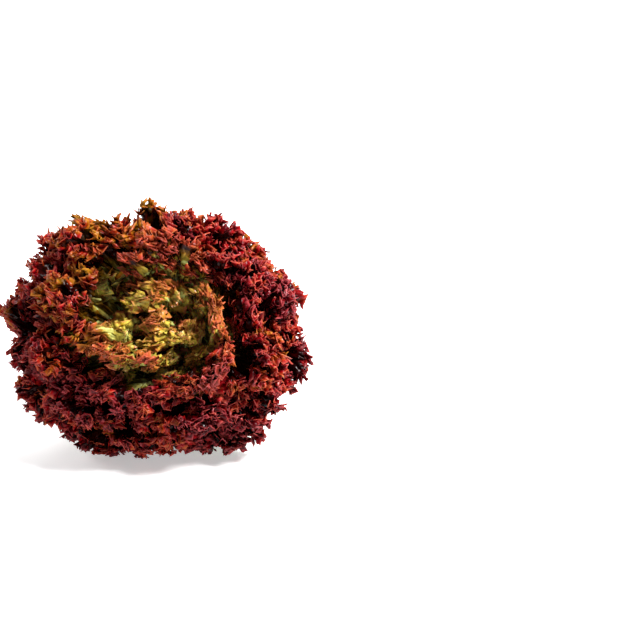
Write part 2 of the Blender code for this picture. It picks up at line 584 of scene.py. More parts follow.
@dataclass
class LeafBlank:
    """A flat leaf's mesh, with rows and columns that grow finer towards its margin.

    Its points carry the row and the column that they stand for, so that a leaf worked out on a full
    grid of rows and columns can be laid on it.
    """

    columns: int
    rows: int = 8
    zones: tuple[float, ...] = (3.0, 1.0, 0.5)
    first_row: float = 0.042
    crowding: float = 1.4

    @property
    def fine_columns(self) -> int:
        """How many columns the margin has, twice as many as the row next to it."""
        return self.columns * 2 ** (len(self.zones) + 1)

    @property
    def shares(self) -> np.ndarray:
        """How far each row lies from the margin, as a share of the way to the spine."""
        inner = np.linspace(0, 1, len(self.row_places) - 1) ** self.crowding
        return np.concatenate([[0.0], mix(self.first_row, 1.0, inner)])

    @property
    def row_places(self) -> np.ndarray:
        """The places of all rows, in rows of the blank, counted from the margin.

        Returns:
            0 at the margin, in ever longer steps up to the blank's number of rows at the spine.
        """
        edges = (*reversed(self.zones), float(self.rows))
        places, start = [0.0], 0.0
        for level, end in zip(range(len(self.zones), -1, -1), edges):
            step = 0.5**level
            places += list(np.arange(start + step, end + step / 2, step))
            start = end
        return np.array(places)

    def build(self) -> bpy.types.Mesh:
        """Build the mesh: a grid whose outer rows are subdivided again and again.

        Returns:
            The mesh, whose points say which row and column they stand for.
        """
        deselect_all()
        bpy.ops.mesh.primitive_grid_add(x_subdivisions=self.columns, y_subdivisions=self.rows, size=2)
        sheet = bpy.context.object
        bpy.ops.object.mode_set(mode="EDIT")
        bpy.ops.mesh.select_mode(type="FACE")
        for zone in self.zones:
            shape = bmesh.from_edit_mesh(sheet.data)
            limit = 1 - 2 * zone / self.rows
            for face in shape.faces:
                face.select_set(face.calc_center_median().y > limit)
            bmesh.update_edit_mesh(sheet.data)
            bpy.ops.mesh.subdivide(number_cuts=1, ngon=False)
        bpy.ops.mesh.select_mode(type="EDGE")
        bpy.ops.mesh.select_all(action="DESELECT")
        shape = bmesh.from_edit_mesh(sheet.data)
        for edge in shape.edges:
            edge.select_set(min(end.co.y for end in edge.verts) > 1 - TOUCHING)
        bmesh.update_edit_mesh(sheet.data)
        bpy.ops.mesh.subdivide(number_cuts=1, ngon=False)
        bpy.ops.object.mode_set(mode="OBJECT")
        mesh = sheet.data
        places = points_of(mesh)
        column = np.rint((places[:, 0] + 1) / 2 * self.fine_columns)
        row = (1 - places[:, 1]) / 2 * self.rows
        row = np.abs(row[:, None] - self.row_places[None, :]).argmin(axis=1)
        write_attributes(mesh, {"column": column, "row": row})
        bpy.data.objects.remove(sheet)
        return mesh


@dataclass(frozen=True)
class Tones:
    """Where a leaf is cream, green or red, and how warm its red is, with painted light and shade in it.

    Heights up a leaf are shares of its length, and distances are in metres. A pair gives where a tone
    starts and where it is full.
    """

    heart_layers: Pair = (0.60, 1.0)
    young_layers: Pair = (0.74, 0.90)
    red_heights: Pair = (0.40, 0.70)
    red_distances: Pair = (0.056, 0.016)
    young_red_distances: Pair = (0.007, -0.006)
    lit_depths: Pair = (0.060, 0.016)
    heart_light: float = 0.50
    cream_heights: Pair = (0.30, 0.02)
    rib_widths: Pair = (0.0090, 0.0022)
    rib_heights: Pair = (0.95, 0.35)
    ribless_layers: Pair = (0.45, 0.75)
    ribless_share: float = 0.85
    warmth: float = 0.33
    # The warmer, lighter ochre up the head's top is partly sun-grown colour and partly painted light. The darker
    # maroon underside set below is painted shade.
    sun_and_painted_light_heights: Pair = (0.045, 0.105)
    sun_and_painted_light_warmth: float = 0.36
    side_width: float = 0.05
    side_warmth: float = 0.09
    painted_shade_heights: Pair = (-0.01, -0.07)
    painted_shade_warmth: float = 0.15
    heart_warmth: float = 0.16
    leaf_warmth: float = 0.12
    leaf_pace: float = 1.7
    vein_slope: float = 0.75
    vein_spacing: float = 0.013
    # How much further in the notches count, which gives them painted shade.
    notch_share: float = 0.4

    def of(
        self, leaf: Leaf, points: np.ndarray, flat: np.ndarray, distance: np.ndarray, notch: np.ndarray
    ) -> dict[str, np.ndarray]:
        """Return what the leaf's finish reads at each point.

        Args:
            leaf: The leaf.
            points: The frilled leaf in the head's frame.
            flat: The flat leaf by row and column.
            distance: Each point's distance to the margin on the flat leaf.
            notch: For each column, how deep the margin is cut in.

        Returns:
            blush, from 0 for a green blade to 1 for a red margin; pale, from 0 to 1 at the foot; warm,
            from 0 for maroon to 1 for ochre, with painted light on the head's top and painted shade under
            it; vein, which counts the side veins; edge, the distance to the margin in millimetres, longer in
            the notches, which gives them painted shade; and young, the leaf's layer.
        """
        across, along = flat[..., 0], flat[..., 1]
        up_leaf = along / leaf.length
        heart = smooth_step(*self.heart_layers, leaf.layer)
        young = smooth_step(*self.young_layers, leaf.layer)
        starts, full = (mix(*pair, young) for pair in zip(self.red_distances, self.young_red_distances))
        lit = smooth_step(*self.lit_depths, HEAD.depth(points))
        blush = smooth_step(*self.red_heights, up_leaf) * smooth_step(starts, full, distance)
        blush = blush * np.maximum(lit, self.heart_light * heart)
        rib = hump(across, mix(*self.rib_widths, np.clip(up_leaf, 0, 1)))
        rib = rib * smooth_step(*self.rib_heights, up_leaf)
        rib = rib * (1 - self.ribless_share * smooth_step(*self.ribless_layers, leaf.layer))
        pale = np.clip(smooth_step(*self.cream_heights, up_leaf) + rib, 0, 1)
        # Painted light and shade in the red's warmth: ochre up the head's top, partly sun-grown, and maroon on
        # its underside.
        sun_and_painted_light = self.sun_and_painted_light_warmth * smooth_step(*self.sun_and_painted_light_heights, points[..., 1])
        sun_and_painted_light = sun_and_painted_light - self.side_warmth * np.tanh(points[..., 0] / self.side_width)
        sun_and_painted_light = sun_and_painted_light - self.painted_shade_warmth * smooth_step(*self.painted_shade_heights, points[..., 1])
        warm = self.warmth + sun_and_painted_light + self.heart_warmth * heart
        warm = warm + self.leaf_warmth * np.sin(leaf.index * self.leaf_pace)
        vein = (along - self.vein_slope * np.abs(across)) / self.vein_spacing
        # The notches count as further in from the margin, which gives them painted shade and less painted
        # highlight.
        edge = (distance + notch[None] * self.notch_share) * TO_MM
        young = np.full_like(up_leaf, leaf.layer)
        return {"blush": blush, "pale": pale, "warm": warm, "vein": vein, "edge": edge, "young": young}


@dataclass
class Leaf:
    """One leaf: its sizes in metres, where it grows, and how it is built.

    Where a size of the outermost leaf differs from the innermost one's, its field is a pair of them. A
    pair of heights up the leaf, or of layers, gives where something starts and where it is full.
    """

    index: int
    count: int
    ring: Ring
    name: str
    blank: LeafBlank
    first_azimuth: float = math.radians(248)
    half_widths: Pair = (0.062, 0.044)
    foot_widths: Pair = (0.0140, 0.0040)
    broadest_at: float = 0.93
    roundness: float = 0.9
    shoulder: float = 0.70
    spine_share: float = 0.62
    outline_steps: int = 240
    ribs: Pair = (0.0050, 0.0022)
    rib_reach: float = 0.009
    rib_taper: float = 1.3
    least_rib: float = 0.01
    blade: float = 0.00045
    scallop: float = 0.15
    scallops: SlowCurve = SlowCurve(seed=500, swing=0.5, knots=7)
    incision: float = 0.40
    incision_depths: SlowCurve = SlowCurve(seed=900, swing=0.5, knots=11)
    incision_pace: float = 0.020
    incision_paces: SlowCurve = SlowCurve(seed=700, swing=0.8, knots=9)
    incision_sharpness: float = 2.5
    free_heights: Pair = (0.03, 0.25)
    dense_heights: Pair = (0.2, 0.5)
    frill_heights: Pair = (0.30, 0.62)
    side_density: float = 0.22
    tilt: float = 2.2
    tilt_width: float = 0.045
    waves: float = 2.5
    wave_height: float = 0.8
    uneven_height: float = 0.015
    height_pace: float = 2.4
    heart_hollow: float = 0.24
    hollow_layers: Pair = (0.84, 1.0)
    heart_fineness: float = 0.70
    fine_layers: Pair = (0.70, 0.85)
    ruffles: tuple[Ruffle, ...] = (
        Ruffle(wavelength=0.027, height=0.0088, reach=0.054, rise=1.6, side_share=0.35),
        Ruffle(wavelength=0.0088, height=0.0030, reach=0.019, rise=1.15, side_share=0.7, wander=1.5),
    )
    inner_row: int = 3
    blisters: Pair = (0.0015, 0.0028)
    blister_layers: Pair = (0.5, 0.8)
    blister_size: float = 0.0075
    blister_lean: SlowCurve = SlowCurve(seed=40, swing=3, knots=60)
    blister_heights: Pair = (0.25, 0.55)
    blister_start: float = 0.006
    blister_fade: Pair = (0.026, 0.010)
    finger: float = 0.0030
    finger_cut: float = 0.80
    finger_lengths: SlowCurve = SlowCurve(seed=1300, swing=0.4)
    finger_curl: float = 1.1
    finger_curls: SlowCurve = SlowCurve(seed=1500, swing=0.6)
    finger_reach: float = 0.0075
    finger_fade: float = 1.5
    lobe: float = 0.0027
    lobe_cup: float = 0.0004
    lobe_reach: float = 0.0040
    lobe_fade: float = 1.3
    lobe_row: int = 2
    stir: float = 0.00075
    stir_waves: tuple[float, ...] = (0.0075, 0.0090, 0.0105, 0.0125, 0.0150, 0.0190)
    stir_rounds: int = 2
    stir_reach: float = 0.021
    give: float = 0.006
    tones: Tones = Tones()

    @property
    def layer(self) -> float:
        """The leaf's layer: 0 for the outermost, 1 for the innermost."""
        return self.index / (self.count - 1)

    @property
    def length(self) -> float:
        """The flat leaf's length, which is how long its layer is from the stem to the dome."""
        return HEAD.meridian_length(self.layer)

    def half_width(self, along: np.ndarray) -> np.ndarray:
        """Return half the flat leaf's width at each share of its length.

        Args:
            along: Shares of the leaf's length.

        Returns:
            Half the width at each of them.
        """
        foot = mix(*self.foot_widths, self.layer)
        widest = mix(*self.half_widths, self.layer)
        return mix(foot, widest, smooth_step(0.0, self.broadest_at, along) ** self.roundness)

    def envelope(self) -> np.ndarray:
        """Return the smooth flat outline that the margin follows, from the left foot to the right.

        Returns:
            The outline's points, one to a row.
        """
        side = np.linspace(0, self.shoulder, self.outline_steps)
        turn = np.linspace(0, math.pi / 2, self.outline_steps)[1:]
        broad = self.half_width(np.array([self.shoulder]))[0]
        x = np.concatenate([self.half_width(side), broad * np.cos(turn) ** self.roundness])
        tip = self.shoulder + (1 - self.shoulder) * np.sin(turn) ** self.roundness
        right = np.stack([x, np.concatenate([side, tip]) * self.length], axis=1)
        left = right * np.array([-1.0, 1.0])
        return np.concatenate([left, right[-2::-1]])

    def outline(self) -> tuple[np.ndarray, np.ndarray]:
        """Return the flat leaf's margin and spine, with one point of each for each fine column.

        Returns:
            The margin, which is cut into broad lobes, and the spine, whose points mirror each other about
            the leaf's tip, so that its two sides can be welded.
        """
        smooth = self.envelope()
        run = total(steps(smooth))
        share = run / run[-1]
        up_leaf = smooth[:, 1] / self.length
        broad = (0.5 + self.scallops.along(self.index, share)) * self.scallop
        pace = run / self.incision_pace + self.incision_paces.along(self.index, share)
        wave = 0.5 + 0.5 * np.cos(TURN * pace + self.index)
        depth = self.incision * (1 + self.incision_depths.along(self.index, share))
        dip = (broad + depth * wave**self.incision_sharpness) * smooth_step(*self.frill_heights, up_leaf)
        middle = np.array([0.0, self.spine_share * self.length])
        margin = smooth + (middle - smooth) * dip[:, None]
        density = mix(self.side_density, 1.0, smooth_step(*self.dense_heights, up_leaf[1:]))
        place = total(steps(margin) * density)
        wanted = np.linspace(0, place[-1], self.blank.fine_columns + 1)
        margin = np.stack([np.interp(wanted, place, margin[:, k]) for k in range(2)], axis=1)
        up = np.interp(np.linspace(0, 1, len(margin)), share, smooth[:, 1]) * self.spine_share
        up = (up + up[::-1]) / 2
        return margin, np.stack([np.zeros(len(up)), up], axis=1)

    def flat(self) -> tuple[np.ndarray, np.ndarray]:
        """Return the flat leaf's points by row and column, and each point's distance to the margin.

        Returns:
            The points, and the distances.
        """
        margin, spine = self.outline()
        share = self.blank.shares
        points = margin[None] + (spine - margin)[None] * share[:, None, None]
        reach = np.linalg.norm(spine - margin, axis=1)
        return points, share[:, None] * reach[None]

    def bend(self, flat: np.ndarray) -> np.ndarray:
        """Return the flat leaf bent onto its layer, in the head's frame.

        Args:
            flat: The flat leaf by row and column.

        Returns:
            The bent leaf, whose blade sways a little between its own layer and the next ones.
        """
        across = flat[..., 0]
        along = flat[..., 1] / self.length
        broad = self.half_width(np.array([1.0]))[0]
        wave = np.sin(TURN * self.waves * across / broad + self.index) * np.clip(along, 0, 1) ** 3
        sway = self.tilt * np.tanh(across / self.tilt_width) * np.clip(along, 0, 1) ** 2
        layer = np.clip(self.layer + (self.wave_height * wave + sway) / (self.count - 1), 0, 1)
        lift = 1 + self.uneven_height * (math.sin(self.index * self.height_pace) + 1.0)
        lift = lift * (1 - self.heart_hollow * smooth_step(*self.hollow_layers, self.layer))
        radius, height = HEAD.meridian(layer, along * lift)
        plain = HEAD.meridian(self.layer, along * lift)[0]
        wrap = HEAD.widest_wrap * np.tanh(across / plain / HEAD.widest_wrap)
        azimuth = self.first_azimuth + self.index * GOLDEN_ANGLE + wrap
        return np.stack([radius * np.cos(azimuth), radius * np.sin(azimuth), height], axis=-1)

    def frilled(
        self, points: np.ndarray, distance: np.ndarray, flat: np.ndarray
    ) -> tuple[np.ndarray, np.ndarray]:
        """Lay the whole frill on the bent leaf: its ruffles, then its blisters, fingers and lobes.

        Args:
            points: The bent leaf.
            distance: Each point's distance to the margin on the flat leaf.
            flat: The flat leaf by row and column.

        Returns:
            The frilled leaf, and for each column how deep the margin is cut in between its fingers.
        """
        up_leaf = flat[..., 1] / self.length
        free = smooth_step(*self.free_heights, up_leaf[0])
        full = smooth_step(*self.frill_heights, up_leaf[0])
        scale = mix(1.0, self.heart_fineness, smooth_step(*self.fine_layers, self.layer))
        phase = np.zeros(points.shape[1])
        for level, ruffle in enumerate(self.ruffles):
            points, phase = ruffle.scaled(scale).laid_on(points, distance, self.index, level, free, full)
        points = self.blistered(points, distance, smooth_step(*self.blister_heights, up_leaf))
        points = self.fingered(points, distance, phase, free)
        points = self.lobed(points, distance, free)
        return self.stirred(points, distance, free), (1 - self.crests(phase)) * self.finger

    @staticmethod
    def crests(phase: np.ndarray) -> np.ndarray:
        """Return 1 at each crest of a ruffle and 0 halfway down its flanks."""
        return np.abs(np.sin(phase)) ** 0.5

    def blistered(self, points: np.ndarray, distance: np.ndarray, share: np.ndarray) -> np.ndarray:
        """Return the leaf with the blade behind its frill puckered into small blisters.

        Args:
            points: The ruffled leaf.
            distance: Each point's distance to the margin on the flat leaf.
            share: How much each point is blistered, from 0 at the smooth foot to 1.

        Returns:
            The blistered leaf.
        """
        run = total(steps(points[self.inner_row]))
        lean = self.blister_lean.along(self.index, np.linspace(0, 1, points.shape[1]))
        across = np.sin(TURN * run / self.blister_size + lean)
        down = np.sin(TURN * distance / self.blister_size + 2 * lean + self.index)
        normal = unit(np.cross(np.gradient(points, axis=1), np.gradient(points, axis=0)))
        blister = mix(*self.blisters, smooth_step(*self.blister_layers, self.layer))
        share = share * smooth_step(0.0, self.blister_start, distance)
        share = share * smooth_step(*self.blister_fade, distance)
        return points + normal * (blister * across * down * share)[..., None]

    def fingered(
        self, points: np.ndarray, distance: np.ndarray, phase: np.ndarray, free: np.ndarray
    ) -> np.ndarray:
        """Return the leaf cut in between the crests of its last ruffle, which leaves them as fingers.

        Args:
            points: The ruffled leaf.
            distance: Each point's distance to the margin on the flat leaf.
            phase: The last ruffle's phase at each column.
            free: For each column, how free the margin is of the stem, from 0 to 1.

        Returns:
            The leaf with its fingers, each curled to the side that its crest stands to.
        """
        columns = np.linspace(0, 1, points.shape[1])
        knots = int(phase[-1] / math.pi)
        uneven = 1 + self.finger_lengths.along(self.index, columns, knots)
        growth = self.finger * (self.crests(phase) - self.finger_cut) * uneven * free
        outward = unit(points[0] - points[self.inner_row])
        normal = unit(np.cross(unit(np.gradient(points[0], axis=0)), outward))
        curl = self.finger_curl * (1 + self.finger_curls.along(self.index, columns, knots))
        aside = np.sin(phase) * np.sin(curl) * self.finger * free
        growth = outward * (growth * np.cos(curl / 2))[:, None] + normal * aside[:, None]
        weight = np.clip(1 - distance / self.finger_reach, 0, 1) ** self.finger_fade
        return points + growth[None] * weight[..., None]

    def lobed(self, points: np.ndarray, distance: np.ndarray, free: np.ndarray) -> np.ndarray:
        """Return the leaf with its margin cut into small lobes, some forked, that curl either way.

        Args:
            points: The fingered leaf.
            distance: Each point's distance to the margin on the flat leaf.
            free: For each column, how free the margin is of the stem, from 0 to 1.

        Returns:
            The lobed leaf.
        """
        lobes = Lobes(points.shape[1], self.index)
        outward = unit(points[0] - points[self.lobe_row])
        over = unit(np.gradient(points[0], axis=0))
        normal = unit(np.cross(over, outward))
        length = lobes.length * self.lobe * free
        growth = outward * (lobes.reach * np.cos(lobes.curl) * length)[:, None]
        growth = growth + normal * ((lobes.reach + 1) * np.sin(lobes.curl) * length)[:, None]
        growth = growth + normal * (lobes.cup * self.lobe_cup)[:, None]
        growth = growth + over * (lobes.club * length)[:, None]
        weight = np.clip(1 - distance / self.lobe_reach, 0, 1) ** self.lobe_fade
        return points + growth[None] * weight[..., None]

    def stirred(self, points: np.ndarray, distance: np.ndarray, free: np.ndarray) -> np.ndarray:
        """Return the leaf with its frill stirred by slow waves in space, so that no two tips lie alike.

        The waves are the same for every leaf, so leaves that lie together move together.

        Args:
            points: The lobed leaf.
            distance: Each point's distance to the margin on the flat leaf.
            free: For each column, how free the margin is of the stem, from 0 to 1.

        Returns:
            The stirred leaf.
        """
        chance = np.random.default_rng(SEED)
        moved = np.zeros_like(points)
        for length in self.stir_waves * self.stir_rounds:
            along, aside = unit(chance.normal(size=(2, 3)))
            aside = unit(np.cross(along, aside))
            phase = points @ along * (TURN / length) + chance.uniform(0, TURN)
            moved = moved + np.sin(phase)[..., None] * aside
        weight = np.clip(1 - distance / self.stir_reach, 0, 1) * free
        return points + moved * (self.stir * weight)[..., None]

    def settle(self, points: np.ndarray) -> np.ndarray:
        """Return world points with what would sink through the ground pressed flat above it.

        Args:
            points: Points of the world.

        Returns:
            The points, none of them below the ground.
        """
        z = points[..., 2]
        pressed = self.give * np.exp(np.minimum(z, self.give) / self.give - 1)
        return np.stack([points[..., 0], points[..., 1], np.where(z < self.give, pressed, z)], axis=-1)

    def build(self, sheet: bpy.types.Mesh) -> bpy.types.Object:
        """Build the leaf on a copy of its blank's mesh.

        Args:
            sheet: The blank's mesh, whose points say which row and column they stand for.

        Returns:
            The leaf, whole but undressed.
        """
        mesh = sheet.copy()
        leaf = bpy.data.objects.new(self.name + "_blade", mesh)
        bpy.context.scene.collection.objects.link(leaf)
        flat, distance = self.flat()
        frilled, notch = self.frilled(self.bend(flat), distance, flat)
        shaped = HEAD.squash(frilled)
        at = []
        for name in ("row", "column"):
            values = np.empty(len(mesh.vertices), dtype=np.float32)
            mesh.attributes[name].data.foreach_get("value", values)
            at.append(values.astype(int))
        at = tuple(at)
        mesh.vertices.foreach_set("co", self.settle(HEAD.to_world(shaped))[at].ravel())
        tones = self.tones.of(self, shaped, flat, distance, notch)
        write_attributes(mesh, {name: values[at] for name, values in tones.items()})
        taper = (1 - np.clip(flat[..., 1] / self.length, 0, 1)) ** self.rib_taper
        self.thicken(leaf, (hump(flat[..., 0], self.rib_reach) * taper)[at])
        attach(leaf, BODY)
        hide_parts(self.name)
        return leaf

    def thicken(self, leaf: bpy.types.Object, rib_share: np.ndarray) -> None:
        """Weld the two sides of a leaf along its spine, and give it a wall.

        Args:
            leaf: The leaf, still a sheet.
            rib_share: How much of the midrib's thickness each point has above the blade's.
        """
        group = leaf.vertex_groups.new(name="rib")
        for number, share in enumerate(rib_share):
            if share > self.least_rib:
                group.add([number], float(share), "REPLACE")
        leaf.data.update()
        take_up(leaf)
        bpy.ops.object.mode_set(mode="EDIT")
        bpy.ops.mesh.select_all(action="SELECT")
        bpy.ops.mesh.remove_doubles(threshold=TOUCHING)
        bpy.ops.object.mode_set(mode="OBJECT")
        bpy.ops.object.shade_smooth()
        wall = leaf.modifiers.new("wall", "SOLIDIFY")
        rib = mix(*self.ribs, self.layer)
        wall.thickness = rib
        wall.offset = 0.0
        wall.vertex_group = group.name
        wall.thickness_vertex_group = self.blade / rib
        bpy.ops.object.modifier_apply(modifier=wall.name)


@dataclass
class CutStem:
    """The stump that the leaves stand on, cut across below them, with its sizes in metres.

    Its profile gives each ring's radius and height above the cut. Its outline's waves give how many of
    them there are round it, their share of the wobble and their turn.
    """

    name: str = "stem"
    sides: int = 132
    cut_rings: tuple[float, ...] = (0.9, 0.8, 0.62, 0.42, 0.2)
    profile: tuple[Pair, ...] = (
        (0.0134, 0.0000),
        (0.0142, 0.0004),
        (0.0146, 0.0012),
        (0.0149, 0.0026),
        (0.0154, 0.0045),
        (0.0163, 0.0065),
        (0.0176, 0.0085),
        (0.0192, 0.0105),
        (0.0203, 0.0122),
        (0.0203, 0.0136),
        (0.0188, 0.0148),
        (0.0162, 0.0164),
        (0.0146, 0.0200),
        (0.0136, 0.0260),
        (0.0122, 0.0340),
        (0.0094, 0.0450),
        (0.0050, 0.0530),
        (0.0015, 0.0560),
    )
    leaf_bases: int = 11
    base_depth: float = 0.10
    base_starts: Pair = (0.001, 0.012)
    base_ends: Pair = (0.030, 0.016)
    wobble: float = 0.018
    outline: tuple[tuple[int, float, float], ...] = ((2, 1.0, 0.6), (5, 0.5, 0.0), (9, 0.3, 0.0))
    dishing: float = 0.0006
    knife_marks: float = 0.25
    knife_spacing: float = 0.0011
    sharp_angle: float = math.radians(50)

    def build(self) -> bpy.types.Object:
        """Build the stump: its cut face first, then ring after ring up to the top of its core.

        Returns:
            The stump, whole but undressed.
        """
        deselect_all()
        bpy.ops.mesh.primitive_circle_add(vertices=self.sides, radius=self.profile[0][0], fill_type="NGON")
        stump = bpy.context.object
        stump.name = self.name + "_stump"
        bpy.ops.object.mode_set(mode="EDIT")
        bpy.ops.mesh.select_mode(type="EDGE")
        bpy.ops.mesh.select_all(action="SELECT")
        for (inner, low), (outer, high) in zip(self.profile, self.profile[1:]):
            bpy.ops.mesh.extrude_edges_move(TRANSFORM_OT_translate={"value": (0, 0, high - low)})
            bpy.ops.transform.resize(value=(outer / inner, outer / inner, 1))
        bpy.ops.mesh.edge_face_add()
        self.ring_cut_face(stump)
        bpy.ops.mesh.select_all(action="SELECT")
        bpy.ops.mesh.normals_make_consistent(inside=False)
        bpy.ops.object.mode_set(mode="OBJECT")
        self.grow(stump.data)
        take_up(stump)
        bpy.ops.object.shade_smooth_by_angle(angle=self.sharp_angle)
        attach(stump, BODY)
        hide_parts(self.name)
        return stump

    def ring_cut_face(self, stump: bpy.types.Object) -> None:
        """Divide the cut face into rings, so that it can be dished.

        Args:
            stump: The stump, in edit mode.
        """
        bpy.ops.mesh.select_mode(type="FACE")
        bpy.ops.mesh.select_all(action="DESELECT")
        shape = bmesh.from_edit_mesh(stump.data)
        for face in shape.faces:
            if abs(face.calc_center_median().z) < TOUCHING:
                face.select_set(True)
        bmesh.update_edit_mesh(stump.data)
        edge = self.profile[0][0]
        for outer, inner in zip((1.0, *self.cut_rings), self.cut_rings):
            bpy.ops.mesh.inset(thickness=(outer - inner) * edge)
        bpy.ops.mesh.select_mode(type="VERT")

    def grow(self, mesh: bpy.types.Mesh) -> None:
        """Give the turned stump the leaf bases, uneven outline and dished cut of a grown one.

        Args:
            mesh: The stump's mesh, upright with its cut at the origin. It is moved to its place.
        """
        points = points_of(mesh)
        azimuth = np.arctan2(points[:, 1], points[:, 0])
        share = np.clip(np.hypot(points[:, 0], points[:, 1]) / self.profile[0][0], 0, 1)
        climb = smooth_step(*self.base_starts, points[:, 2]) * smooth_step(*self.base_ends, points[:, 2])
        bases = 1 - self.base_depth * climb * np.abs(np.sin(azimuth * self.leaf_bases / 2)) ** 0.5
        waves = sum(part * np.sin(count * azimuth + turn) for count, part, turn in self.outline)
        points[:, :2] *= (bases * (1 + self.wobble * waves))[:, None]
        on_cut = points[:, 2] < TOUCHING
        marks = self.knife_marks * np.sin(points[:, 0] / self.knife_spacing)
        points[:, 2] += np.where(on_cut, self.dishing * (1 - share**4) * (1 + marks), 0.0)
        mesh.vertices.foreach_set("co", HEAD.to_world(points).ravel())
        write_attributes(mesh, {"rim": share, "climb": points[:, 2] * TO_MM, "on_cut": on_cut})
        mesh.update()


# ---------------------------------------------------------------------------------------------------
# Finishes
# ---------------------------------------------------------------------------------------------------

# Inputs by number: what a Map Range goes from and to, and the two colours of a Mix. A noise's values lie
# nearly all in its middle range.
SPAN = (1, 2)
ONTO = (3, 4)
BLEND = (6, 7)
NOISE = (0.3, 0.7)


@dataclass(frozen=True)
class Ground:
    """What a finish is made on: its material's nodes, and what they read from the piece.

    The piece's points give the named values, and the place, in metres.
    """

    tree: bpy.types.NodeTree
    read: dict[str, bpy.types.NodeSocket]
    place: bpy.types.NodeSocket


@dataclass(frozen=True)
class Finish:
    """A finish, which is made as one material."""

    name: str = ""
    reads: ClassVar[tuple[str, ...]] = ()

    def make(self) -> bpy.types.Material:
        """Make the material.

        Returns:
            The material, with all of its nodes.
        """
        material = bpy.data.materials.new(self.name)
        material.use_nodes = True
        tree = material.node_tree
        tree.nodes.clear()
        read = {name: add_node(tree, "Attribute", attribute_name=name).outputs["Fac"] for name in self.reads}
        place = add_node(tree, "TexCoord").outputs["Object"]
        add_node(tree, "OutputMaterial", {"Surface": self.surface(Ground(tree, read, place))})
        return material

    def surface(self, ground: Ground) -> bpy.types.Node:
        """Add the nodes of the finish, and return its shader."""
        raise NotImplementedError


@dataclass(frozen=True)
class StemFinish(Finish):
    """Cut lettuce stem: firm cream flesh, which light soaks into, so its edges look soft and milky.

    It was cut with a knife and has dried a little. That gives the eye a tan ring where the cut meets the
    air, faint rings inside it, a fine wet grain and a low gloss. The real grain is under 1 mm wide, and is
    drawn as coarse as it needs to show.
    """

    name: str = "cut_stem_flesh"
    reads: ClassVar[tuple[str, ...]] = ("rim", "climb", "on_cut")
    flesh: str = "#f3e6bd"
    core: str = "#e6d79c"
    browned: str = "#b97c38"
    side: str = "#efe9c4"
    grain_mm: float = 2.38
    grain_values: Pair = (0.86, 1.1)
    grain_strength: float = 0.5
    grain_depth: float = 0.0006
    blotch_mm: float = 9.1
    blotch_shift: Pair = (-0.05, 0.05)
    ring_places: tuple[float, ...] = (0.0, 0.5, 0.74, 0.82, 1.0)
    browned_mm: Pair = (0.0, 2.6)
    roughness: float = 0.38
    ior: float = 1.40
    soak: float = 0.25
    soak_depths: tuple[float, float, float] = (0.004, 0.003, 0.0015)

    def surface(self, ground: Ground) -> bpy.types.Node:
        """Add the cut's rings by how far out a point is, and the browned foot of the side by its height.

        Args:
            ground: What the finish is made on.

        Returns:
            The shader.
        """
        tree, read, place = ground.tree, ground.read, ground.place
        grain = add_node(
            tree, "TexNoise", {"Vector": place, "Scale": per_metre(self.grain_mm), "Detail": 4.0}
        )
        blotch = add_node(
            tree, "TexNoise", {"Vector": place, "Scale": per_metre(self.blotch_mm), "Detail": 3.0}
        )
        uneven = add_node(tree, "MapRange", {"Value": blotch, SPAN: NOISE, ONTO: self.blotch_shift})
        out = add_node(tree, "Math", {0: read["rim"], 1: uneven}, operation="ADD")
        cut = add_node(tree, "ValToRGB", {0: out})
        colours = (self.core, self.flesh, self.core, self.flesh, self.browned)
        fill_ramp(cut, tuple(zip(self.ring_places, colours)))
        high = add_node(tree, "MapRange", {"Value": read["climb"], SPAN: self.browned_mm})
        wall = add_node(
            tree, "Mix", {0: high, BLEND: (linear(self.browned), linear(self.side))}, data_type="RGBA"
        )
        both = add_node(tree, "Mix", {0: read["on_cut"], BLEND: (wall, cut)}, data_type="RGBA")
        speck = add_node(tree, "MapRange", {"Value": grain, SPAN: NOISE, ONTO: self.grain_values})
        flesh = add_node(tree, "HueSaturation", {"Color": both, "Value": speck})
        relief = {"Height": grain, "Strength": self.grain_strength, "Distance": self.grain_depth}
        bump = add_node(tree, "Bump", relief)
        look = {"Base Color": flesh, "Roughness": self.roughness, "IOR": self.ior, "Normal": bump}
        soak = {"Subsurface Weight": self.soak, "Subsurface Radius": self.soak_depths}
        return add_node(tree, "BsdfPrincipled", {**look, **soak, "Subsurface Scale": 1.0})


